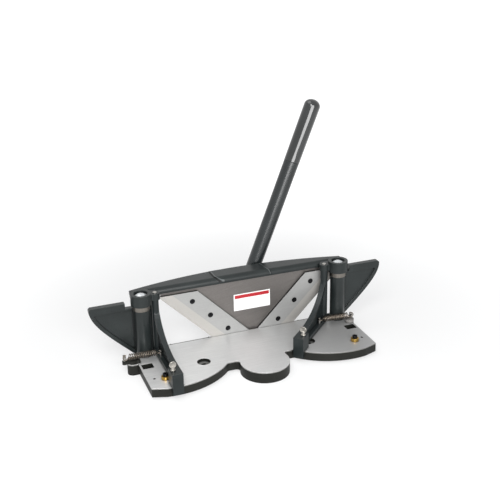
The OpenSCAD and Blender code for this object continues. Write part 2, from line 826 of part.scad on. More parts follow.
// Place of a blade screw: sideways from the carriage's middle, and its height
function blade_screw_place(i) = [
  blade_foot_x + blade_screw_inset + blade_screw_low + blade_screw_step * i,
  blade_z + blade_screw_low + blade_screw_step * i
];

bevel_angle = 34;
blade_screw_length = 17;

module blade() {
  difference() {
    plate_y(blade_front_y, carriage_front_y) polygon([
      [blade_foot_x, blade_z], [blade_foot_x + blade_w, blade_z],
      [blade_half_w, blade_top_z], [blade_half_w - blade_w, blade_top_z]
    ]);
    // Bevel behind the cutting edge, which lies in the front face
    translate([blade_foot_x + blade_w, blade_front_y, blade_z]) rotate([0, -45, 0]) {
      rotate([bevel_angle, 0, 0]) translate([-30, -10, -20]) cube([blade_rise * 2, 30, 20]);
    }
    for (i = [0 : 2]) {
      p = blade_screw_place(i);
      rod_y(blade_head_r + loose_fit, p[0], p[1], blade_front_y - 1, blade_front_y + 4);
      rod_y(blade_shank_r + loose_fit, p[0], p[1], blade_front_y - 1, carriage_front_y + 1);
    }
  }
}

module blade_left() {
  color([0.82, 0.82, 0.82]) on_carriage() mirror([1, 0, 0]) blade();
}

module blade_right() {
  color([0.82, 0.82, 0.82]) on_carriage() blade();
}

module blade_screws() {
  color([0.08, 0.08, 0.08]) on_carriage() both_sides() for (i = [0 : 2]) {
    p = blade_screw_place(i);
    translate([p[0], blade_front_y + 0.3, p[1]]) rotate([90, 0, 0]) {
      socket_screw(blade_head_r, 3.7, blade_shank_r, blade_screw_length);
    }
  }
}

rack_screw_xs = [-75, -25, 25, 75];
rack_screw_r = 3;
rack_screw_length = 21;
rack_screw_z = rack_root_z - 9.5;

// Straight teeth that point down, cut to mesh with the quadrant
module rack_teeth() {
  slope = tan(pressure_angle);
  half_pitch_w = tooth_pitch / 4 - backlash / 4;
  count = floor((rack_half_w - tooth_pitch) / tooth_pitch);
  start = rack_phase + tooth_pitch / 2 - tooth_pitch * round(rack_phase / tooth_pitch);
  for (i = [-count - 1 : count]) {
    x = start + i * tooth_pitch;
    polygon([
      [x - half_pitch_w - dedendum * slope, rack_root_z + eps],
      [x - half_pitch_w + addendum * slope, rack_pitch_z - addendum],
      [x + half_pitch_w - addendum * slope, rack_pitch_z - addendum],
      [x + half_pitch_w + dedendum * slope, rack_root_z + eps]
    ]);
  }
}

module gear_rack() {
  carrier_rear_y = quadrant_front_y - 0.6;
  color([0.5, 0.5, 0.5]) on_carriage() difference() {
    union() {
      block([-rack_half_w, carriage_rear_y, rack_carrier_z], [rack_half_w, carrier_rear_y, rack_top_z]);
      block([-rack_half_w, carrier_rear_y - 1, rack_root_z], [rack_half_w, quadrant_rear_y, rack_top_z]);
      plate_y(quadrant_front_y, quadrant_rear_y) rack_teeth();
    }
    for (x = rack_screw_xs) {
      rod_y(rack_screw_r + loose_fit, x, rack_screw_z, carriage_rear_y - 1, carrier_rear_y + 1);
      rod_y(5.2, x, rack_screw_z, carrier_rear_y - 7, carrier_rear_y + 1);
    }
  }
}

module rack_screws() {
  carrier_rear_y = quadrant_front_y - 0.6;
  color([0.08, 0.08, 0.08]) on_carriage() for (x = rack_screw_xs) {
    translate([x, carrier_rear_y - 0.8, rack_screw_z]) rotate([-90, 0, 0]) {
      socket_screw(5, 6, rack_screw_r, rack_screw_length);
    }
  }
}

module blank_plate() {
  plate_z = 67;
  color([0.95, 0.95, 0.95]) on_carriage() {
    block(
      [-plate_w / 2, carriage_front_y - plate_t, plate_z],
      [plate_w / 2, carriage_front_y, plate_z + plate_h]
    );
  }
}

// ---------------------------------------------------------------- lever

// Angle between a tooth's centre line and its flank at radius r, with involute flanks
function involute(a) = tan(a) * 180 / PI - a;
function flank_angle(r) = 90 / gear_teeth + involute(pressure_angle)
  - involute(acos(pitch_r * cos(pressure_angle) / r)) - backlash / 4 / pitch_r * 180 / PI;
function on_gear(r, a) = [r * sin(a), r * cos(a)];

// Outline of the toothed arc, one tooth after the other, clockwise from the first
function quadrant_points() = [
  for (i = [quadrant_first_tooth : quadrant_last_tooth])
    let (
      a = i * 360 / gear_teeth,
      radii = [for (k = [0 : 3]) pitch_r - dedendum + k * (addendum + dedendum) / 3]
    )
      for (j = [0 : 7])
        let (r = radii[j < 4 ? j : 7 - j], side = j < 4 ? -1 : 1)
          on_gear(r, a + side * flank_angle(r))
];

module gear_quadrant() {
  window_r = 17;
  window_centre = 62;
  web_r = pitch_r - dedendum;
  first_a = (quadrant_first_tooth - 0.5) * 360 / gear_teeth;
  last_a = (quadrant_last_tooth + 0.5) * 360 / gear_teeth;
  color([0.5, 0.5, 0.5]) lean_lever() difference() {
    union() {
      plate_y(quadrant_front_y, quadrant_rear_y) {
        polygon(concat([[0, -4], on_gear(web_r, first_a)], quadrant_points(), [on_gear(web_r, last_a)]));
      }
      rod_y(hub_r, 0, 0, quadrant_front_y, quadrant_rear_y);
    }
    for (a = [-38, -5, 28]) {
      p = on_gear(window_centre, a);
      rod_y(window_r, p[0], p[1], quadrant_front_y - 1, quadrant_rear_y + 1);
    }
    rod_y(bush_r + loose_fit, 0, 0, quadrant_front_y - 1, quadrant_rear_y + 1);
    hub_screw_holes(hub_screw_r, quadrant_front_y + 1, quadrant_rear_y + 1);
  }
}

hub_screw_r = 2;
hub_screw_head_r = 3.5;
hub_screw_head_h = 4;
hub_screw_circle_r = 16;
hub_screw_angles = [110, 180, 250];

// Holes for the three screws that hold the hub to the quadrant
module hub_screw_holes(r, y0, y1) {
  for (a = hub_screw_angles) {
    p = on_gear(hub_screw_circle_r, a);
    rod_y(r + loose_fit, p[0], p[1], y0, y1);
  }
}

module lever_hub() {
  block_half_w = 15.5;
  color([0.2, 0.24, 0.24]) lean_lever() difference() {
    union() {
      rod_y(hub_r, 0, 0, hub_front_y, hub_rear_y);
      block(
        [bar_offset - block_half_w, hub_front_y, 0],
        [bar_offset + block_half_w, hub_rear_y, bar_shoulder]
      );
    }
    rod_y(bush_r + loose_fit, 0, 0, hub_front_y - 1, hub_rear_y + 1);
    translate([bar_offset, bar_y, bush_r + 3]) cylinder(r = bar_spigot_r + loose_fit, h = bar_shoulder);
    hub_screw_holes(hub_screw_r, hub_front_y - 1, hub_rear_y + 1);
    hub_screw_holes(hub_screw_head_r, hub_rear_y - hub_screw_head_h - 0.5, hub_rear_y + 1);
  }
}

module hub_screws() {
  screw_length = hub_rear_y - 0.5 - quadrant_front_y - 2;
  color([0.08, 0.08, 0.08]) lean_lever() for (a = hub_screw_angles) {
    p = on_gear(hub_screw_circle_r, a);
    translate([p[0], hub_rear_y - 0.5, p[1]]) rotate([-90, 0, 0]) {
      socket_screw(hub_screw_head_r, hub_screw_head_h, hub_screw_r, screw_length);
    }
  }
}

module pivot_bush() {
  color([0.7, 0.55, 0.25]) lean_lever() difference() {
    rod_y(bush_r, 0, 0, bracket_rear_y + 0.4, hub_rear_y);
    rod_y(stud_r + running_fit, 0, 0, bracket_rear_y - 1, hub_rear_y + 1);
  }
}

module lever_bar() {
  color([0.13, 0.15, 0.16]) lean_lever() translate([bar_offset, bar_y, 0]) {
    translate([0, 0, bush_r + 3.2]) cylinder(r = bar_spigot_r, h = bar_shoulder - bush_r - 3.2 + eps);
    translate([0, 0, bar_shoulder]) cylinder(r1 = bar_r_low, r2 = bar_r_high, h = bar_reach - bar_shoulder);
    translate([0, 0, bar_reach - eps]) cylinder(r = bar_spigot_r, h = grip_length - 30);
  }
}

module lever_grip() {
  dome_h = grip_end_r * 0.8;
  body_h = grip_length - dome_h;
  color([0.05, 0.06, 0.06]) lean_lever() translate([bar_offset, bar_y, bar_reach]) difference() {
    union() {
      cylinder(r1 = bar_r_high, r2 = grip_end_r, h = body_h);
      translate([0, 0, body_h]) intersection() {
        sphere(r = grip_end_r);
        cylinder(r = grip_end_r, h = dome_h);
      }
    }
    translate([0, 0, -1]) cylinder(r = bar_spigot_r + loose_fit, h = grip_length - 30 + 1.2);
  }
}

// ---------------------------------------------------------------- fences

// Height of a fence's curved edge above the table, at a distance in front of its pivot
function fence_curve(r) =
  fence_h - (fence_h - fence_foot_h) * sqrt(1 - pow((curve_reach - r) / curve_reach, 2));

// Side view of the fence with its curved edge lowered by some width: distance forward and height
module fence_profile(lower) {
  steps = 16;
  polygon(concat(
    [[-fence_rear, fence_z], [-fence_rear, fence_top_z], [lower > 0 ? -fence_rear : 0, fence_top_z]],
    [for (i = [1 : steps]) let (r = curve_reach * pow(i / steps, 1.6))
      [r - lower * (1 - i / steps), table_z + fence_curve(r) - lower]],
    [[fence_reach - 6, table_z + fence_foot_h - lower], [fence_reach - 6, fence_z]]
  ));
}

// Stands a side view up along the fence, between two distances sideways from the pivot
module along_fence(x0, x1) {
  translate([x0, 0, 0]) rotate([90, 0, -90]) mirror([0, 0, 1]) linear_extrude(x1 - x0) children();
}

module fence() {
  inner_x = -fence_face;
  foot_rear = fence_reach - foot_length;
  foot_top_z = table_z + fence_foot_h;
  difference() {
    union() {
      translate([0, 0, fence_z]) cylinder(r = fence_barrel_r, h = fence_top_z - fence_z);
      along_fence(inner_x, inner_x + fence_web_t) fence_profile(0);
      // Flange along the curved edge
      along_fence(inner_x, inner_x + fence_flange_w) difference() {
        fence_profile(0);
        fence_profile(flange_t);
      }
      // Rail that slides on the table
      block(
        [inner_x, -foot_rear - 2, fence_z],
        [inner_x + fence_rail_w, -fence_barrel_r, fence_z + fence_rail_h]
      );
      // Clamp foot, with a lip that hangs over the table's edge
      block([inner_x, -fence_reach, fence_z], [inner_x + fence_foot_w, -foot_rear, foot_top_z]);
      block(
        [inner_x, -fence_reach, table_z - fence_foot_drop],
        [inner_x + fence_foot_w, foot_lip_t - fence_reach, fence_z + 1]
      );
    }
    // Nothing of the barrel stands past the fence's face
    block([inner_x - 10, -20, 0], [inner_x, 20, 200]);
    translate([0, 0, -1]) cylinder(r = fence_pin_r + running_fit, h = 200);
    translate([thumb_x, -thumb_forward, 0]) cylinder(r = thumb_stem_r + running_fit, h = 100);
    translate([hook_x, -hook_forward, fence_z + 2]) cylinder(r = hook_post_r + loose_fit, h = 20);
  }
}

module fence_left() {
  color([0.22, 0.26, 0.26]) place_left() fence();
}

module fence_right() {
  color([0.22, 0.26, 0.26]) place_right(right_fence_angle) fence();
}

// A headed peg on the fence's rail whose neck holds the spring's inner loop
module fence_hook() {
  neck_half = 2;
  translate([hook_x, -hook_forward, 0]) {
    translate([0, 0, fence_z + 2.2]) cylinder(r = hook_post_r, h = spring_z - neck_half - fence_z - 2.2);
    translate([0, 0, spring_z - neck_half - eps]) cylinder(r = hook_neck_r, h = 2 * neck_half + 2 * eps);
    translate([0, 0, spring_z + neck_half]) cylinder(r = hook_neck_r + 0.8, h = 1.4);
  }
}

module fence_hook_left() {
  color([0.6, 0.6, 0.58]) place_left() fence_hook();
}

module fence_hook_right() {
  color([0.6, 0.6, 0.58]) place_right(right_fence_angle) fence_hook();
}

module thumbscrew() {
  collar_z0 = table_z + fence_foot_h + slide_gap;
  blade_z0 = table_z + fence_foot_h + 5.5;
  translate([thumb_x, -thumb_forward, 0]) {
    translate([0, 0, table_z + 0.15]) cylinder(r = thumb_stem_r, h = blade_z0 - table_z + 2);
    translate([0, 0, collar_z0]) cylinder(r = 4.6, h = 3);
    translate([0, thumb_t / 2, blade_z0 + thumb_r]) rotate([90, 0, 0]) cylinder(r = thumb_r, h = thumb_t);
  }
}

module thumbscrew_left() {
  color([0.85, 0.84, 0.8]) place_left() thumbscrew();
}

module thumbscrew_right() {
  color([0.85, 0.84, 0.8]) place_right(right_fence_angle) thumbscrew();
}

// ---------------------------------------------------------------- springs

curl_steps = 8;
wire_sides = 6;
loop_steps = 14;
loop_start = 80;

// A loop's centre sits outside its pin, so that the wire rests on the pin's far side
loop_gap = 0.15;
pin_to_loop = loop_r - wire_r - anchor_pin_r - loop_gap;
neck_to_loop = loop_r - wire_r - hook_neck_r - loop_gap;

// Distance between the centres of the two end loops
function loop_span(pin_span) = pin_span - pin_to_loop - neck_to_loop;

// Centre line along +X from the first loop's centre at the origin: upright loop, curls, level loop
function spring_path(span) =
  let (
    coil_start = loop_r,
    coil_length = span - 2 * loop_r,
    steps = curl_steps * spring_curls,
    first = [for (i = [0 : loop_steps]) let (a = loop_start + i * (360 - loop_start) / loop_steps)
      [loop_r * cos(a), 0, loop_r * sin(a)]],
    coil = [for (i = [1 : steps - 1])
      let (a = 90 + i * 360 / curl_steps, grow = min(1, i / 5), fade = min(1, (steps - i) / 5))
      let (r = coil_r * min(grow, fade))
        [coil_start + coil_length * i / steps, r * cos(a), r * sin(a)]],
    last = [for (i = [0 : loop_steps]) let (a = 180 + i * (360 - loop_start) / loop_steps)
      [span + loop_r * cos(a), loop_r * sin(a), 0]]
  ) concat(first, coil, last);

function unit(v) = v / norm(v);

// Direction of the path at each of its points
function path_tangents(p) = [
  for (i = [0 : len(p) - 1]) unit(p[min(i + 1, len(p) - 1)] - p[max(i - 1, 0)])
];

// A side direction carried along the path without twisting
function carried_sides(t) = [
  for (i = 0, s = unit(cross(t[0], [0, 1, 0])); i < len(t);
       i = i + 1, s = i < len(t) ? unit(s - (s * t[i]) * t[i]) : s) s
];

module wire(p) {
  t = path_tangents(p);
  s = carried_sides(t);
  n = len(p);
  m = wire_sides;
  points = [
    for (i = [0 : n - 1]) for (k = [0 : m - 1])
      p[i] + wire_r * (cos(360 * k / m) * s[i] + sin(360 * k / m) * cross(t[i], s[i]))
  ];
  walls = [
    for (i = [0 : n - 2]) for (k = [0 : m - 1]) for (half = [0, 1])
      let (a = i * m + k, b = i * m + (k + 1) % m)
        half == 0 ? [a, a + m, b + m] : [a, b + m, b]
  ];
  first_cap = [for (k = [1 : m - 2]) [0, k, k + 1]];
  last_cap = [for (k = [1 : m - 2]) [(n - 1) * m, (n - 1) * m + k + 1, (n - 1) * m + k]];
  polyhedron(points = points, faces = concat(walls, first_cap, last_cap));
}

// Where a fence's peg stands, in the frame of the whole machine
function hook_place(angle) = [
  fence_pivot_x + hook_x * cos(angle) - hook_forward * sin(angle),
  fence_pivot_y - hook_x * sin(angle) - hook_forward * cos(angle)
];

// Least gap between stretches of the wire that lie well apart along it
function least_gap(p) = min([
  for (i = [0 : len(p) - 1]) for (j = [i + 6 : len(p) - 1]) norm(p[i] - p[j])
]) - 2 * wire_r;

module return_spring(angle, anchor_x) {
  hook = hook_place(angle);
  from = [anchor_x, anchor_y];
  pin_span = norm(hook - from);
  span = loop_span(pin_span);
  heading = atan2(hook[1] - from[1], hook[0] - from[0]);
  path = spring_path(span);
  echo("least gap of the spring to itself, mm", least_gap(path));
  translate([from[0], from[1], spring_z]) rotate([0, 0, heading]) translate([pin_to_loop, 0, 0]) wire(path);
}

module return_spring_left() {
  color([0.45, 0.38, 0.3]) mirror([1, 0, 0]) return_spring(0, left_anchor_x);
}

module return_spring_right() {
  color([0.45, 0.38, 0.3]) return_spring(right_fence_angle, right_anchor_x);
}

base_table();
side_post_left();
side_post_right();
post_rings();
post_bolts();
top_beam();
cap_bolts();
fence_pivot_pins();
brass_stops();
stop_screws();
spring_anchors();
lever_bracket();
bracket_screws();
pivot_stud();
pivot_washer();
pivot_nut();
gib_strip();
gib_screws();
blade_carriage();
blade_left();
blade_right();
blade_screws();
gear_rack();
rack_screws();
blank_plate();
gear_quadrant();
lever_hub();
hub_screws();
pivot_bush();
lever_bar();
lever_grip();
fence_left();
fence_right();
fence_hook_left();
fence_hook_right();
thumbscrew_left();
thumbscrew_right();
return_spring_left();
return_spring_right();
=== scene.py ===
"""Looks of the mitre guillotine: camera, light, materials and the pieces that are finer than their solids."""
import math

import bpy
from mathutils import Matrix, Vector


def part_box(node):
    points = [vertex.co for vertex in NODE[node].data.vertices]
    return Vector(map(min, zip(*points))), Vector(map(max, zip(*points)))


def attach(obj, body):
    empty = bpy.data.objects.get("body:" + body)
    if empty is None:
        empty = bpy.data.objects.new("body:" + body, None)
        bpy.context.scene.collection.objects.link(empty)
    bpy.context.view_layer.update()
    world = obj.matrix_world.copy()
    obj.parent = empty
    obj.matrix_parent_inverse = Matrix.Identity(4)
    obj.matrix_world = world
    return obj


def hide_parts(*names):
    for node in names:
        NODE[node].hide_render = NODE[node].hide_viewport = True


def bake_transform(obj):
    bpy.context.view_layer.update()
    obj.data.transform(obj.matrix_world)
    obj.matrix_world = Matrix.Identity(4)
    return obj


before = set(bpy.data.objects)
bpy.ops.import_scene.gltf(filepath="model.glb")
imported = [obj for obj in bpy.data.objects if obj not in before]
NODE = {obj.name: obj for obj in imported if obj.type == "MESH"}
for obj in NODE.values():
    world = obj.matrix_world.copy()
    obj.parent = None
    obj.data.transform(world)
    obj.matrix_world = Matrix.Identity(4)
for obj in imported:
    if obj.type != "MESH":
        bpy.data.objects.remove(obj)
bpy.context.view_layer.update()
MM = 0.001

# Main sizes, as in the part's source, in millimetres
TABLE_Z = 22.5
BORE_DEPTH, LIP = 6, 2.2
BOLT_X, BOLT_Y, BORE_R = 109, -72.5, 13.15
SPARE_X, SPARE_Y, SPARE_R = 213, -99, 2.7
SLOT_X, SLOT_Y = (200, 227.5), (-59, -35.2)
RIGHT_LUG_X = 200
FENCE_PIVOT = (177.5, 5.0)
RIGHT_FENCE_ANGLE = 45
SPRING_Z = 38.2
LEFT_ANCHOR = (251.0, -29.0)
RIGHT_ANCHOR = (225.5, -29.0)
HOOK = (4.0, -35.0)
THUMB = (9.0, -140.0)
THUMB_SEAT_Z = 52.8
LOOP_R, WIRE_R, LOOP_GAP = 5.2, 0.8, 0.15
PIN_R, NECK_R = 2.5, 1.5
LEVER_LEAN = 22
PIVOT_Z = 26
BAR_OFFSET, BAR_Y = 5.6, 75.5
BAR_FOOT, BAR_SHOULDER, BAR_REACH, GRIP_LENGTH = 14.2, 34, 350, 130
BAR_R_LOW, BAR_R_HIGH, GRIP_R, SPIGOT_R = 14.5, 15.7, 16.2, 10
CARRIAGE_SHIFT = 26.9
# The raised pad on the beam, for its painted shade and highlight lines: centre and size of its left sweep, and
# its right side's slant
PAD_SWEEP, PAD_SWEEP_W, PAD_SWEEP_D = (-33.5, 28.5), 18.7, 16.7
PAD_RIGHT, PAD_SLANT, PAD_MIN_Z = 68.7, 0.217, 141
PAD_LINE, PAD_INSIDE, PAD_SHINE = 0.9, 2.2, 1.1
# Where the painted shade on the table's top starts, and where it is darkest
SHADE_FROM, SHADE_TO = -40, 190
# A little more than the table's own height, to tell a lug from the top
ABOVE_TOP = 0.3


# ---------------------------------------------------------------- camera

def make_camera():
    """The photograph's view: place, direction, roll and focal length in pixels of a 500 pixel frame."""
    azimuth, elevation, roll = (math.radians(a) for a in (20.39, 21.86, -1.12))
    focal, frame_size = 884.2, 500
    level = math.cos(elevation)
    forward = Vector((math.sin(azimuth) * level, math.cos(azimuth) * level, -math.sin(elevation)))
    right = Vector((math.cos(azimuth), -math.sin(azimuth), 0))
    up = right.cross(forward)
    turned_right = math.cos(roll) * right + math.sin(roll) * up
    turned_up = -math.sin(roll) * right + math.cos(roll) * up
    data = bpy.data.cameras.new("camera")
    data.sensor_width = 36
    data.lens = focal / frame_size * data.sensor_width
    data.clip_start, data.clip_end = 0.05, 50
    camera = bpy.data.objects.new("camera", data)
    bpy.context.scene.collection.objects.link(camera)
    axes = Matrix((turned_right, turned_up, -forward)).transposed()
    camera.matrix_world = Matrix.Translation(Vector((-539.25, -1493.4, 843.75)) * MM) @ axes.to_4x4()
    bpy.context.scene.camera = camera


# ---------------------------------------------------------------- node materials

class Shade:
    """A node material built with short calls. Textures use the object's own coordinates, in metres."""

    def __init__(self, name):
        self.material = bpy.data.materials.new(name)
        self.material.use_nodes = True
        self.nodes = self.material.node_tree.nodes
        self.links = self.material.node_tree.links
        self.bsdf = self.nodes["Principled BSDF"]
        self.place = self.add("ShaderNodeTexCoord").outputs["Object"]
        self.x, self.y, self.z = (self.split(self.place, i) for i in range(3))

    def near(self, x, y, radius):
        """1 inside a circle in plan, and inside its mirror image."""
        dx = self.math("SUBTRACT", self.math("ABSOLUTE", self.x), x * MM)
        dy = self.math("SUBTRACT", self.y, y * MM)
        away = self.math("SQRT", self.plus(self.times(dx, dx), self.times(dy, dy)))
        return self.math("LESS_THAN", away, radius * MM)

    def inside(self, span_x, span_y):
        """1 inside a rectangle in plan, and inside its mirror image."""
        side = self.math("ABSOLUTE", self.x)
        tests = [
            self.math("GREATER_THAN", side, span_x[0] * MM), self.math("LESS_THAN", side, span_x[1] * MM),
            self.math("GREATER_THAN", self.y, span_y[0] * MM), self.math("LESS_THAN", self.y, span_y[1] * MM),
        ]
        return self.times(self.times(tests[0], tests[1]), self.times(tests[2], tests[3]))

    def add(self, kind, **settings):
        node = self.nodes.new(kind)
        for key, value in settings.items():
            setattr(node, key, value)
        return node

    def feed(self, socket, value):
        if isinstance(value, bpy.types.NodeSocket):
            self.links.new(value, socket)
        elif isinstance(value, (tuple, list)) and socket.type == "RGBA":
            socket.default_value = (*value[:3], 1)
        else:
            socket.default_value = value

    def split(self, vector, index):
        if not hasattr(self, "splitter"):
            self.splitter = self.add("ShaderNodeSeparateXYZ")
            self.feed(self.splitter.inputs[0], vector)
        return self.splitter.outputs[index]

    def split_normal(self, index):
        """One part of the surface's own normal."""
        node = self.add("ShaderNodeSeparateXYZ")
        self.feed(node.inputs[0], self.add("ShaderNodeNewGeometry").outputs["True Normal"])
        return node.outputs[index]

    def math(self, operation, a, b=0.0, c=0.0, clamp=False):
        node = self.add("ShaderNodeMath", operation=operation, use_clamp=clamp)
        for socket, value in zip(node.inputs, (a, b, c)):
            self.feed(socket, value)
        return node.outputs[0]

    def times(self, a, b):
        return self.math("MULTIPLY", a, b)

    def plus(self, a, b):
        return self.math("ADD", a, b)

    def within(self, value, centre, half_width):
        """1 where a value is near a centre."""
        return self.math("LESS_THAN", self.math("ABSOLUTE", self.math("SUBTRACT", value, centre)), half_width)

    def above(self, z):
        return self.math("GREATER_THAN", self.z, z * MM)

    def below(self, z):
        return self.math("LESS_THAN", self.z, z * MM)

    def smooth(self, value, low, high, out_low=0.0, out_high=1.0):
        node = self.add("ShaderNodeMapRange", interpolation_type="SMOOTHSTEP")
        for socket, v in zip(node.inputs, (value, low, high, out_low, out_high)):
            self.feed(socket, v)
        return node.outputs[0]

    def stretched(self, stretch=(1, 1, 1), turn=(0, 0, 0), shift=(0, 0, 0)):
        node = self.add("ShaderNodeMapping")
        self.feed(node.inputs["Vector"], self.place)
        node.inputs["Scale"].default_value = stretch
        node.inputs["Rotation"].default_value = [math.radians(a) for a in turn]
        node.inputs["Location"].default_value = shift
        # turned first, stretched after, so that grain can run along any line
        if any(turn):
            first = self.add("ShaderNodeMapping")
            self.feed(first.inputs["Vector"], self.place)
            first.inputs["Rotation"].default_value = [math.radians(a) for a in turn]
            node.inputs["Rotation"].default_value = (0, 0, 0)
            self.feed(node.inputs["Vector"], first.outputs[0])
        return node.outputs[0]

    def noise(self, scale, detail=4.0, rough=0.55, distortion=0.0, **mapping):
        node = self.add("ShaderNodeTexNoise")
        self.feed(node.inputs["Vector"], self.stretched(**mapping) if mapping else self.place)
        settings = {"Scale": scale, "Detail": detail, "Roughness": rough, "Distortion": distortion}
        for key, value in settings.items():
            node.inputs[key].default_value = value
        return node.outputs[0]

    def ramp(self, value, *stops):
        node = self.add("ShaderNodeValToRGB")
        band = node.color_ramp
        while len(band.elements) < len(stops):
            band.elements.new(0.5)
        for element, (position, colour) in zip(band.elements, stops):
            element.position = position
            element.color = (*colour, 1) if isinstance(colour, (tuple, list)) else (colour, colour, colour, 1)
        self.feed(node.inputs[0], value)
        return node.outputs[0]

    def mix(self, share, a, b):
        node = self.add("ShaderNodeMix", data_type="RGBA")
        self.feed(node.inputs[0], share)
        self.feed(node.inputs[6], a)
        self.feed(node.inputs[7], b)
        return node.outputs[2]

    def blend(self, share, a, b):
        node = self.add("ShaderNodeMix", data_type="FLOAT")
        self.feed(node.inputs[0], share)
        self.feed(node.inputs[2], a)
        self.feed(node.inputs[3], b)
        return node.outputs[0]

    def edges(self, radius):
        """0 on the flats, up to 1 on sharp edges."""
        bevel = self.add("ShaderNodeBevel", samples=6)
        bevel.inputs["Radius"].default_value = radius * MM
        flat = self.add("ShaderNodeNewGeometry").outputs["Normal"]
        dot = self.add("ShaderNodeVectorMath", operation="DOT_PRODUCT")
        self.feed(dot.inputs[0], bevel.outputs[0])
        self.feed(dot.inputs[1], flat)
        return self.smooth(dot.outputs["Value"], 0.995, 0.9)

    def corner_shade(self, reach):
        """1 in the open, towards 0 in corners and narrow gaps: the mask for painted shade there."""
        node = self.add("ShaderNodeAmbientOcclusion", samples=8)
        node.inputs["Distance"].default_value = reach * MM
        return node.outputs["AO"]

    def rounding(self, radius):
        bevel = self.add("ShaderNodeBevel", samples=6)
        bevel.inputs["Radius"].default_value = radius * MM
        return bevel.outputs[0]

    def bump(self, height, distance, strength=1.0, normal=None):
        node = self.add("ShaderNodeBump")
        self.feed(node.inputs["Height"], height)
        node.inputs["Distance"].default_value = distance * MM
        node.inputs["Strength"].default_value = strength
        if normal is not None:
            self.feed(node.inputs["Normal"], normal)
        return node.outputs[0]

    def finish(self, **sockets):
        for key, value in sockets.items():
            self.feed(self.bsdf.inputs[key.replace("_", " ")], value)
        return self.material


def painted(name, colour, rough=0.42, grain=1.0, radius=1.2, gloss=0.4, extra=None):
    """Satin paint on cast iron: slight orange peel, uneven tone, paint wearing thin on the edges with a
    painted edge highlight, and painted shade in corners.
    """
    s = Shade(name)
    cloud = s.noise(14, 3)
    fine = s.noise(420, 5, 0.6)
    pits = s.noise(900, 2, 0.7)
    darker = tuple(c * 0.78 for c in colour)
    lighter = tuple(min(1, c * 1.22 + 0.004) for c in colour)
    tone = s.ramp(cloud, (0.3, darker), (0.7, lighter))
    # Lighter in patches on the edges: partly paint wearing thin, partly a painted edge highlight.
    worn_and_highlit_edge = s.math("MULTIPLY", s.edges(0.7), s.ramp(s.noise(160, 4), (0.35, 0.0), (0.75, 0.75)))
    tone = s.mix(s.math("MULTIPLY", worn_and_highlit_edge, 0.55), tone, tuple(c * 2.4 + 0.03 for c in colour))
    # Painted shade: the tone darkens in corners and narrow gaps.
    tone = s.mix(s.smooth(s.corner_shade(5), 0.8, 0.35), tone, tuple(c * 0.25 for c in colour))
    if extra:
        tone = extra(s, tone)
    roughness = s.math("ADD", s.math("MULTIPLY", fine, 0.16), rough - 0.08)
    normal = s.bump(pits, 0.05 * grain, 0.35, s.bump(fine, 0.09 * grain, 0.5, s.rounding(radius)))
    s.bsdf.inputs["Specular IOR Level"].default_value = gloss
    return s.finish(Base_Color=tone, Roughness=roughness, Normal=normal)


def pad_shade_and_highlight(s, tone):
    """The beam's raised pad: a painted shade line with a painted highlight inside, swept at the left, slanted
    at the right.
    """
    sweep_x = s.math("DIVIDE", s.math("SUBTRACT", s.x, PAD_SWEEP[0] * MM), PAD_SWEEP_W * MM)
    sweep_y = s.math("DIVIDE", s.math("SUBTRACT", s.y, PAD_SWEEP[1] * MM), PAD_SWEEP_D * MM)
    before = s.math("MINIMUM", sweep_y, 0.0)
    sweep = s.math("SQRT", s.plus(s.times(sweep_x, sweep_x), s.times(before, before)))
    on_left = s.math("LESS_THAN", sweep_x, 0.0)
    slant = s.plus(s.x, s.times(s.y, PAD_SLANT))
    dark_left = s.times(s.within(sweep, 1.0, 0.06), on_left)
    dark_right = s.within(slant, PAD_RIGHT * MM, PAD_LINE * MM)
    light_left = s.times(s.within(sweep, 0.86, 0.05), on_left)
    light_right = s.within(slant, (PAD_RIGHT - PAD_INSIDE) * MM, PAD_SHINE * MM)
    on_beam = s.above(PAD_MIN_Z)
    light = s.times(s.math("MAXIMUM", light_left, light_right), s.times(on_beam, 0.8))
    dark = s.times(s.math("MAXIMUM", dark_left, dark_right), s.times(on_beam, 0.92))
    return s.mix(dark, s.mix(light, tone, (0.11, 0.12, 0.121)), (0.002, 0.002, 0.002))


def ground(name, colour, rough=0.3, turn=(0, 0, 0), contrast=0.16, radius=0.5, extra=None, metallic=1.0):
    """Ground or brushed metal: fine scratches along one line, faint stains and softer edges."""
    s = Shade(name)
    lines = s.noise(1, 6, 0.65, stretch=(14, 1500, 1500), turn=turn)
    cross = s.noise(1, 4, 0.6, stretch=(420, 26, 420), turn=turn)
    stains = s.noise(9, 5, 0.6, distortion=0.4)
    low, high = (tuple(c * f for c in colour) for f in (1 - contrast, 1 + contrast * 0.8))
    tone = s.ramp(s.plus(s.times(lines, 0.7), s.times(cross, 0.3)), (0.3, low), (0.7, high))
    tone = s.mix(s.ramp(stains, (0.45, 0.0), (0.8, 0.35)), tone, tuple(c * 0.82 for c in colour))
    if extra:
        tone = extra(s, tone)
    roughness = s.plus(s.times(lines, 0.2), s.plus(s.times(stains, 0.12), rough - 0.16))
    normal = s.bump(lines, 0.012, 0.5, s.rounding(radius))
    return s.finish(Base_Color=tone, Roughness=roughness, Metallic=metallic, Normal=normal)


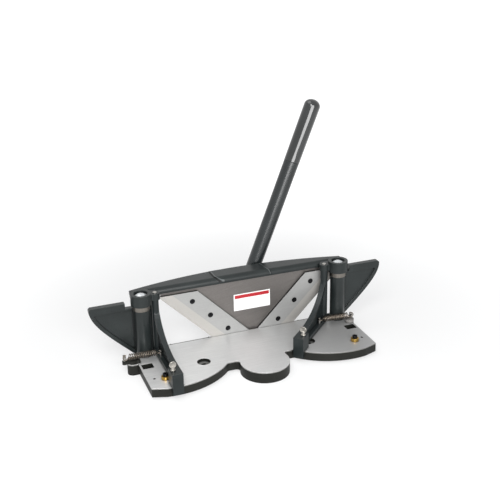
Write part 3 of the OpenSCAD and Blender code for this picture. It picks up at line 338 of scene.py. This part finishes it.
def table_material(name, metal, paint):
    """The table casting: ground bare top and lip, painted apron, feet, lugs and recesses."""
    s = Shade(name)
    lines = s.noise(1, 6, 0.65, stretch=(16, 1300, 900))
    stains = s.noise(7, 5, 0.62, distortion=0.5)
    patches = s.noise(45, 4, 0.6)
    bare = s.ramp(lines, (0.28, tuple(c * 0.86 for c in metal)), (0.72, tuple(c * 1.1 for c in metal)))
    bare = s.mix(s.ramp(stains, (0.42, 0.0), (0.75, 0.4)), bare, tuple(c * 0.8 for c in metal))
    bare = s.mix(s.ramp(patches, (0.55, 0.0), (0.8, 0.22)), bare, tuple(c * 1.15 for c in metal))
    cloud = s.noise(18, 3)
    fine = s.noise(420, 5, 0.6)
    coat = s.ramp(cloud, (0.3, tuple(c * 0.75 for c in paint)), (0.7, tuple(c * 1.25 for c in paint)))
    bare_top = s.times(s.above(TABLE_Z - LIP), s.below(TABLE_Z + ABOVE_TOP))
    for zone in (s.near(BOLT_X, BOLT_Y, BORE_R), s.near(SPARE_X, SPARE_Y, SPARE_R), s.inside(SLOT_X, SLOT_Y)):
        recess = s.times(zone, s.below(TABLE_Z - 0.25))
        bare_top = s.times(bare_top, s.math("SUBTRACT", 1.0, recess))
    # The top darkens to the right, as in the photograph, where the light is the likely cause
    right_shade = s.smooth(s.x, SHADE_FROM * MM, SHADE_TO * MM, 0.0, 0.7)
    bare = s.mix(right_shade, bare, tuple(c * 0.38 for c in metal))
    # The right lug is bare and dull, the left one painted
    right_lug = s.times(s.math("GREATER_THAN", s.x, RIGHT_LUG_X * MM), s.above(TABLE_Z + ABOVE_TOP))
    coat = s.mix(s.times(right_lug, 0.85), coat, (0.27, 0.26, 0.25))
    # The counterbores' floors are bare too, and dull
    seat = s.times(s.near(BOLT_X, BOLT_Y, BORE_R - 0.65), s.above(TABLE_Z - BORE_DEPTH - 0.6))
    coat = s.mix(s.times(seat, 0.8), coat, (0.2, 0.2, 0.19))
    # The ground lip is duller than the top
    bare = s.mix(s.times(s.below(TABLE_Z - 0.35), 0.6), bare, (0.09, 0.085, 0.07))
    tone = s.mix(bare_top, coat, bare)
    # Painted shade: near black in corners, gaps and recesses.
    tone = s.mix(s.smooth(s.corner_shade(7), 0.85, 0.3), tone, (0.008, 0.0075, 0.0065))
    s.bsdf.inputs["Specular IOR Level"].default_value = 0.25
    painted_rough = s.plus(s.times(fine, 0.16), 0.4)
    ground_rough = s.plus(s.times(lines, 0.16), s.plus(s.times(stains, 0.14), 0.27))
    roughness = s.blend(bare_top, painted_rough, ground_rough)
    # Ground along X: reflections run out across the lines
    across = s.add("ShaderNodeCombineXYZ")
    across.inputs[1].default_value = 1.0
    s.feed(s.bsdf.inputs["Tangent"], across.outputs[0])
    s.bsdf.inputs["Anisotropic"].default_value = 0.6
    height = s.blend(bare_top, s.times(fine, 6.0), lines)
    normal = s.bump(height, 0.012, 0.5, s.rounding(0.6))
    return s.finish(Base_Color=tone, Roughness=roughness, Metallic=s.times(bare_top, 0.55), Normal=normal)


def blade_tone(s, tone):
    """A warmer ground band along the cutting edge, a line where it starts, and painted shade on the edge
    faces.
    """
    lean = s.math("SUBTRACT", s.math("ABSOLUTE", s.math("SUBTRACT", s.x, CARRIAGE_SHIFT * MM)), s.z)
    band = s.smooth(lean, 38 * MM, 39.2 * MM)
    line = s.math("SUBTRACT", s.smooth(lean, 37.2 * MM, 38.0 * MM), band)
    tone = s.mix(s.math("MULTIPLY", band, 0.5), tone, (0.50, 0.47, 0.43))
    tone = s.mix(s.math("MULTIPLY", line, 0.35), tone, (0.3, 0.3, 0.3))
    # Painted shade: faces turned neither to the front nor to the back, the blade's edge faces, go near black.
    facing = s.split_normal(1)
    edge_face_shade = s.smooth(s.math("ABSOLUTE", facing), 0.75, 0.55)
    return s.mix(edge_face_shade, tone, (0.012, 0.012, 0.012))


def plate_material(name):
    """White enamel with a plain red band along the top and a thin grey line inside the edge."""
    s = Shade(name)
    low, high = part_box("blank_plate")
    middle, half = (low + high) / 2, (high - low) / 2
    band_low, band_high = high.z - 9.6 * MM, high.z - 1.8 * MM
    band = s.times(s.math("GREATER_THAN", s.z, band_low), s.math("LESS_THAN", s.z, band_high))
    edge_x = s.math("SUBTRACT", half.x, s.math("ABSOLUTE", s.math("SUBTRACT", s.x, middle.x)))
    edge_z = s.math("SUBTRACT", half.z, s.math("ABSOLUTE", s.math("SUBTRACT", s.z, middle.z)))
    inset = s.math("MINIMUM", edge_x, edge_z)
    rim = s.math("LESS_THAN", inset, 2.2 * MM)
    line = s.math("LESS_THAN", inset, 0.4 * MM)
    dirt = s.ramp(s.noise(60, 5), (0.35, (0.9, 0.9, 0.89)), (0.7, (0.82, 0.82, 0.80)))
    tone = s.mix(band, dirt, (0.42, 0.018, 0.026))
    tone = s.mix(rim, tone, (0.86, 0.86, 0.85))
    tone = s.mix(s.math("MULTIPLY", line, 0.3), tone, (0.3, 0.3, 0.3))
    return s.finish(Base_Color=tone, Roughness=s.math("ADD", s.math("MULTIPLY", s.noise(200, 3), 0.1), 0.28),
                    Normal=s.bump(s.noise(700, 3), 0.02, 0.3))


def oiled(name, colour, rough=0.34, metallic=1.0, scale=260, radius=0.4):
    """Small metal parts: uneven dark or bright finish with a painted highlight along the edges."""
    s = Shade(name)
    mottled = s.noise(scale, 4, 0.6)
    darker = tuple(c * 0.75 for c in colour)
    lighter = tuple(min(1, c * 1.2) for c in colour)
    tone = s.ramp(mottled, (0.3, darker), (0.72, lighter))
    # Painted highlight: the tone is lighter along all edges.
    tone = s.mix(s.math("MULTIPLY", s.edges(0.3), 0.4), tone, tuple(min(1, c * 1.8 + 0.05) for c in colour))
    roughness = s.math("ADD", s.math("MULTIPLY", mottled, 0.18), rough - 0.08)
    normal = s.bump(mottled, 0.02, 0.35, s.rounding(radius))
    return s.finish(Base_Color=tone, Roughness=roughness, Metallic=metallic, Normal=normal)


def grip_material(name):
    """Smooth dark sleeve with a clear gloss."""
    s = Shade(name)
    fine = s.noise(700, 4, 0.6)
    cloud = s.noise(30, 3)
    tone = s.ramp(cloud, (0.3, (0.007, 0.0085, 0.009)), (0.7, (0.011, 0.013, 0.0135)))
    s.bsdf.inputs["Coat Weight"].default_value = 1.0
    s.bsdf.inputs["Coat IOR"].default_value = 1.62
    s.bsdf.inputs["Specular IOR Level"].default_value = 0.05
    s.bsdf.inputs["Coat Roughness"].default_value = 0.03
    return s.finish(Base_Color=tone, Roughness=s.math("ADD", s.math("MULTIPLY", fine, 0.1), 0.3),
                    Normal=s.bump(fine, 0.002, 0.2))


# ---------------------------------------------------------------- meshes

def mesh_piece(name, points, faces, material, body, slot, *nodes):
    """A smooth-shaded piece in a material slot, on a body, in the place of CAD nodes."""
    mesh = bpy.data.meshes.new(name)
    mesh.from_pydata([tuple(p) for p in points], [], faces)
    mesh.validate()
    mesh.update()
    mesh.polygons.foreach_set("use_smooth", [True] * len(mesh.polygons))
    mesh.set_sharp_from_angle(angle=math.radians(40))
    mesh.materials.append(material)
    piece = bpy.data.objects.new(name, mesh)
    bpy.context.scene.collection.objects.link(piece)
    if body:
        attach(piece, body)
    if nodes:
        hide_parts(*nodes)
    return piece


def tube(path, radius, sides=10):
    """Points and faces of a round wire along a path, carried without twist."""
    count = len(path)
    tangents = [(path[min(i + 1, count - 1)] - path[max(i - 1, 0)]).normalized() for i in range(count)]
    side = tangents[0].cross(Vector((0, 1, 0.01))).normalized()
    points, faces = [], []
    for p, t in zip(path, tangents):
        side = (side - side.dot(t) * t).normalized()
        other = t.cross(side)
        for k in range(sides):
            a = 2 * math.pi * k / sides
            points.append(p + radius * (math.cos(a) * side + math.sin(a) * other))
    for i in range(count - 1):
        for k in range(sides):
            n = (k + 1) % sides
            faces.append((i * sides + k, i * sides + n, (i + 1) * sides + n, (i + 1) * sides + k))
    faces.append(tuple(range(sides - 1, -1, -1)))
    faces.append(tuple((count - 1) * sides + k for k in range(sides)))
    return points, faces


def lathe(profile, place, axis=Vector((0, 0, 1)), segments=64):
    """Points and faces of a turned shape: profile holds radius and height pairs in millimetres."""
    turn = Vector((0, 0, 1)).rotation_difference(axis).to_matrix()
    points, faces = [], []
    for r, h in profile:
        for k in range(segments):
            a = 2 * math.pi * k / segments
            points.append((turn @ Vector((r * math.cos(a), r * math.sin(a), h)) + place) * MM)
    for i in range(len(profile) - 1):
        for k in range(segments):
            n = (k + 1) % segments
            faces.append((i * segments + k, i * segments + n, (i + 1) * segments + n, (i + 1) * segments + k))
    faces.append(tuple(range(segments - 1, -1, -1)))
    faces.append(tuple((len(profile) - 1) * segments + k for k in range(segments)))
    return points, faces


def joined(*parts):
    """Several lists of points and faces as one."""
    points, faces = [], []
    for more_points, more_faces in parts:
        start = len(points)
        points += more_points
        faces += [tuple(i + start for i in f) for f in more_faces]
    return points, faces


def fence_place(local, angle, side):
    """A point in a fence's own frame to the machine's frame, in millimetres."""
    a = math.radians(angle)
    x, y = local
    place_x = FENCE_PIVOT[0] + x * math.cos(a) + y * math.sin(a)
    place_y = FENCE_PIVOT[1] - x * math.sin(a) + y * math.cos(a)
    return Vector((side * place_x, place_y))


def spring_path(span):
    """Centre line along +X: upright loop, curls, level loop, in millimetres."""
    coil_r, curls, steps = 5.8, 16, 24
    start, count = 80, 40
    path = []
    for i in range(count + 1):
        a = math.radians(start + i * (360 - start) / count)
        path.append(Vector((LOOP_R * math.cos(a), 0, LOOP_R * math.sin(a))))
    length = span - 2 * LOOP_R
    total = curls * steps
    for i in range(1, total):
        a = math.radians(90 + i * 360 / steps)
        ease = min(1, i / (0.6 * steps), (total - i) / (0.6 * steps))
        r = coil_r * math.sin(ease * math.pi / 2)
        path.append(Vector((LOOP_R + length * i / total, r * math.cos(a), r * math.sin(a))))
    for i in range(count + 1):
        a = math.radians(180 + i * (360 - start) / count)
        path.append(Vector((span + LOOP_R * math.cos(a), LOOP_R * math.sin(a), 0)))
    return path


def make_spring(name, side, anchor, angle, node, material):
    """The return spring, from the lug's cross pin to the fence's peg at the fence's given angle."""
    pin_to_loop = LOOP_R - WIRE_R - PIN_R - LOOP_GAP
    neck_to_loop = LOOP_R - WIRE_R - NECK_R - LOOP_GAP
    anchor = Vector((side * anchor[0], anchor[1]))
    hook = fence_place(HOOK, angle, side)
    along = (hook - anchor).normalized()
    across = Vector((-along.y, along.x)) * -side
    span = (hook - anchor).length - pin_to_loop - neck_to_loop
    path = []
    for p in spring_path(span):
        flat = anchor + along * (p.x + pin_to_loop) + across * p.y
        path.append(Vector((flat.x, flat.y, SPRING_Z + p.z)) * MM)
    points, faces = tube(path, WIRE_R * MM, 10)
    piece = mesh_piece(name, points, faces, material, None, "spring_steel", node)
    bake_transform(piece)


def make_thumbscrew(name, side, angle, body, node, material):
    """Spade screw: rounded disc with a dished face, neck, collar and threaded stem."""
    at = fence_place(THUMB, angle, side)
    place = Vector((at.x, at.y, 0))
    disc_z = THUMB_SEAT_Z + 11.8
    a = math.radians(angle)
    disc_axis = Vector((side * -math.sin(a), -math.cos(a), 0)) if angle else Vector((0, -1, 0))
    half = [(0.01, 1.0), (3.8, 1.0), (4.9, 1.25), (6.0, 1.5), (6.45, 1.1), (6.6, 0.4)]
    face = [(r, -h) for r, h in half] + half[::-1]
    disc = lathe(face, place + Vector((0, 0, disc_z)), disc_axis, 56)
    seat = place + Vector((0, 0, THUMB_SEAT_Z))
    neck_foot = seat + Vector((0, 0, 2.9))
    neck = lathe([(3.1, -0.2), (3.0, 2.0), (2.5, 4.2), (2.3, 6.4)], neck_foot, segments=32)
    collar = lathe([(4.0, 0.0), (4.6, 0.5), (4.6, 2.5), (4.1, 3.0)], seat, segments=40)
    thread = [(2.97 - 0.3 * (i % 2), 22.7 + 0.5 * i) for i in range(61)]
    stem = lathe(thread, place, segments=28)
    points, faces = joined(disc, neck, collar, stem)
    mesh_piece(name, points, faces, material, body, "nickel", node)


def lever_axis():
    """The bar's axis at rest: where it would start at the pivot's height, and its direction."""
    lean = math.radians(LEVER_LEAN)
    along = Vector((math.sin(lean), 0, math.cos(lean)))
    across = Vector((math.cos(lean), 0, -math.sin(lean)))
    return Vector((0, BAR_Y, PIVOT_Z)) + BAR_OFFSET * across, along


def make_bar(material):
    """The turned bar with its two spigots and a small chamfer at each shoulder."""
    start, along = lever_axis()
    inner = BAR_REACH + GRIP_LENGTH - 30
    profile = [
        (SPIGOT_R - 0.6, BAR_FOOT), (SPIGOT_R, BAR_FOOT + 0.6), (SPIGOT_R, BAR_SHOULDER),
        (BAR_R_LOW - 0.8, BAR_SHOULDER), (BAR_R_LOW, BAR_SHOULDER + 0.8),
        (BAR_R_HIGH - 0.3, BAR_REACH - 0.4), (BAR_R_HIGH - 0.7, BAR_REACH),
        (SPIGOT_R, BAR_REACH), (SPIGOT_R, inner - 0.6), (SPIGOT_R - 0.6, inner),
    ]
    points, faces = lathe(profile, start, along, 96)
    mesh_piece("lever_bar_turned", points, faces, material, "lever", "lever_steel", "lever_bar")


def make_grip(material):
    """The glossy sleeve: a rolled lip at its foot, a long slight swell and a domed end."""
    start, along = lever_axis()
    lip_h, swell_steps = 2.4, 6
    dome_h = GRIP_R * 0.8
    lip_top = BAR_REACH + lip_h
    body_top = BAR_REACH + GRIP_LENGTH - dome_h
    profile = [
        (SPIGOT_R + 0.1, BAR_REACH), (BAR_R_HIGH - 0.5, BAR_REACH), (BAR_R_HIGH, BAR_REACH + 0.3),
        (BAR_R_HIGH + 0.15, BAR_REACH + 1.2), (BAR_R_HIGH, lip_top),
    ]
    for i in range(1, swell_steps + 1):
        part = i / swell_steps
        profile.append((BAR_R_HIGH + (GRIP_R - BAR_R_HIGH) * part, lip_top + (body_top - lip_top) * part))
    for i in range(1, 12):
        a = math.radians(7.5 * i)
        profile.append((GRIP_R * math.cos(a), body_top + dome_h * math.sin(a)))
    profile.append((0.4, body_top + dome_h))
    points, faces = lathe(profile, start, along, 96)
    mesh_piece("grip_sleeve", points, faces, material, "lever", "grip_rubber", "lever_grip")


# ---------------------------------------------------------------- light and floor

def add_area(name, place, target, size, power):
    """A soft white lamp at a place, turned to a target, in metres and watts."""
    light = bpy.data.lights.new(name, "AREA")
    light.shape = "RECTANGLE"
    light.size, light.size_y = size
    light.energy = power
    lamp = bpy.data.objects.new(name, light)
    bpy.context.scene.collection.objects.link(lamp)
    lamp.location = place
    lamp.rotation_mode = "QUATERNION"
    lamp.rotation_quaternion = (Vector(target) - Vector(place)).to_track_quat("-Z", "Y")


def seen_rays(nodes, links):
    """1 for camera, glossy and transmission rays, else 0."""
    path = nodes.new("ShaderNodeLightPath")
    first = nodes.new("ShaderNodeMath")
    first.operation = "ADD"
    links.new(path.outputs["Is Camera Ray"], first.inputs[0])
    links.new(path.outputs["Is Glossy Ray"], first.inputs[1])
    second = nodes.new("ShaderNodeMath")
    second.operation = "ADD"
    second.use_clamp = True
    links.new(first.outputs[0], second.inputs[0])
    links.new(path.outputs["Is Transmission Ray"], second.inputs[1])
    return second.outputs[0]


def make_stage():
    scene = bpy.context.scene
    scene.view_settings.view_transform = "Standard"
    world = bpy.data.worlds.new("studio")
    world.use_nodes = True
    scene.world = world
    nodes, links = world.node_tree.nodes, world.node_tree.links
    lit = nodes["Background"]
    lit.inputs["Color"].default_value = (0.94, 0.97, 1.0, 1)
    lit.inputs["Strength"].default_value = 0.26
    white = nodes.new("ShaderNodeBackground")
    white.inputs["Color"].default_value = (1, 1, 1, 1)
    white.inputs["Strength"].default_value = 1.0
    mix = nodes.new("ShaderNodeMixShader")
    links.new(seen_rays(nodes, links), mix.inputs[0])
    links.new(lit.outputs[0], mix.inputs[1])
    links.new(white.outputs[0], mix.inputs[2])
    links.new(mix.outputs[0], nodes["World Output"].inputs["Surface"])

    mesh = bpy.data.meshes.new("floor")
    half = 12
    corners = [(-half, -half, 0), (half, -half, 0), (half, half, 0), (-half, half, 0)]
    mesh.from_pydata(corners, [], [(0, 1, 2, 3)])
    floor = bpy.data.objects.new("floor", mesh)
    scene.collection.objects.link(floor)
    material = bpy.data.materials.new("floor")
    material.use_nodes = True
    nodes, links = material.node_tree.nodes, material.node_tree.links
    bsdf = nodes["Principled BSDF"]
    bsdf.inputs["Base Color"].default_value = (0.42, 0.42, 0.42, 1)
    bsdf.inputs["Roughness"].default_value = 0.9
    bsdf.inputs["Specular IOR Level"].default_value = 0.0
    glow = nodes.new("ShaderNodeEmission")
    glow.inputs["Color"].default_value = (1, 1, 1, 1)
    # The floor is brighter away from the object, where the lamps don't reach
    spread = nodes.new("ShaderNodeVectorMath")
    spread.operation = "LENGTH"
    links.new(nodes.new("ShaderNodeTexCoord").outputs["Object"], spread.inputs[0])
    fade = nodes.new("ShaderNodeMapRange")
    fade.interpolation_type = "SMOOTHSTEP"
    for socket, value in zip(fade.inputs[1:], (0.3, 1.2, 0.58, 1.0)):
        socket.default_value = value
    links.new(spread.outputs["Value"], fade.inputs[0])
    strength = nodes.new("ShaderNodeMath")
    strength.operation = "MULTIPLY"
    links.new(seen_rays(nodes, links), strength.inputs[0])
    links.new(fade.outputs[0], strength.inputs[1])
    links.new(strength.outputs[0], glow.inputs["Strength"])
    both = nodes.new("ShaderNodeAddShader")
    links.new(bsdf.outputs[0], both.inputs[0])
    links.new(glow.outputs[0], both.inputs[1])
    links.new(both.outputs[0], nodes["Material Output"].inputs["Surface"])
    mesh.materials.append(material)

    centre = (0, 0, 0.12)
    add_area("key", (-0.6, -1.1, 1.25), (0, 0, 0.15), (0.6, 0.8), 12)
    add_area("top", (-0.7, 0.3, 2.3), centre, (1.8, 1.4), 14)
    add_area("front", (-0.2, -1.85, 0.68), (0.16, 0.07, 0.4), (1.3, 1.1), 38)


# ---------------------------------------------------------------- dress the nodes

def dress(material, *names, bevel=0.0, segments=2, angle=38):
    """Gives CAD nodes a finish, and softens their edges by a bevel of so many millimetres."""
    for name in names:
        node = NODE[name]
        node.data.materials.clear()
        node.data.materials.append(material)
        if bevel:
            weld = node.modifiers.new("weld", "WELD")
            weld.merge_threshold = 0.00002
            soft = node.modifiers.new("bevel", "BEVEL")
            soft.width = bevel * MM
            soft.segments = segments
            soft.limit_method = "ANGLE"
            soft.angle_limit = math.radians(angle)
            soft.use_clamp_overlap = True
            even = node.modifiers.new("normals", "WEIGHTED_NORMAL")
            even.keep_sharp = True


make_camera()
make_stage()

PAINT = (0.0145, 0.0185, 0.0185)
dark_paint = painted("casting_paint", PAINT, rough=0.3, gloss=0.34)
beam_paint = painted("beam_paint", PAINT, rough=0.34, gloss=0.3, extra=pad_shade_and_highlight)
fence_paint = painted("fence_paint", (0.0135, 0.018, 0.0185), rough=0.32, gloss=0.3)
table = table_material("table_casting", (0.70, 0.70, 0.695), (0.011, 0.0115, 0.0095))
steel = ground("turned_steel", (0.42, 0.405, 0.38), 0.3, turn=(0, 90, 0))
ring = ground("ring_steel", (0.2, 0.185, 0.165), 0.32, turn=(0, 90, 0), contrast=0.25)
carriage = ground("carriage_iron", (0.17, 0.158, 0.15), 0.4, turn=(0, 12, 0), contrast=0.22, metallic=0.7)
blade = ground("blade_steel", (0.36, 0.36, 0.355), 0.42, contrast=0.1, extra=blade_tone, metallic=0.4)
black = oiled("black_oxide", (0.022, 0.022, 0.024), 0.38)
cap = oiled("cap_metal", (0.66, 0.68, 0.695), 0.38, metallic=0.7)
brass = oiled("brass", (0.47, 0.30, 0.08), 0.34)
bronze = oiled("bronze", (0.42, 0.27, 0.12), 0.36)
gear = oiled("gear_steel", (0.30, 0.29, 0.28), 0.38)
nickel = oiled("nickel", (0.44, 0.42, 0.385), 0.3)
spring_wire = oiled("spring_wire", (0.2, 0.17, 0.14), 0.24)
bar_finish = painted("bar_finish", (0.009, 0.012, 0.013), rough=0.27, grain=0.4, gloss=0.55)
grip_finish = grip_material("grip_sleeve")
plate = plate_material("plate_enamel")

dress(table, "base_table", bevel=0.3)
dress(beam_paint, "top_beam", bevel=0.6)
dress(dark_paint, "side_post_left", "side_post_right", "lever_bracket", "lever_hub", bevel=1.0)
dress(fence_paint, "fence_left", "fence_right", bevel=0.9)
dress(ring, "post_rings", bevel=0.3)
dress(steel, "fence_pivot_pins", "spring_anchors", "pivot_stud", "pivot_washer", "pivot_nut",
      "fence_hook_left", "fence_hook_right", bevel=0.3)
dress(black, "post_bolts", "stop_screws", "bracket_screws", "gib_screws", "blade_screws", "rack_screws",
      "hub_screws", bevel=0.25)
dress(cap, "cap_bolts", bevel=0.5)
dress(brass, "brass_stops", bevel=0.5)
dress(bronze, "gib_strip", "pivot_bush", bevel=0.3)
dress(carriage, "blade_carriage", bevel=0.4)
dress(blade, "blade_left", "blade_right", bevel=0.15)
dress(gear, "gear_rack", "gear_quadrant", bevel=0.2)
dress(plate, "blank_plate")
dress(bar_finish, "lever_bar")
dress(grip_finish, "lever_grip")
make_bar(bar_finish)
make_grip(grip_finish)

SIDES = (("left", -1, LEFT_ANCHOR, 0), ("right", 1, RIGHT_ANCHOR, RIGHT_FENCE_ANGLE))
for word, side, anchor, angle in SIDES:
    make_spring(f"spring_wire_{word}", side, anchor, angle, f"return_spring_{word}", spring_wire)
for word, side, anchor, angle in SIDES:
    make_thumbscrew(f"spade_screw_{word}", side, angle, f"{word}_thumbscrew", f"thumbscrew_{word}", nickel)
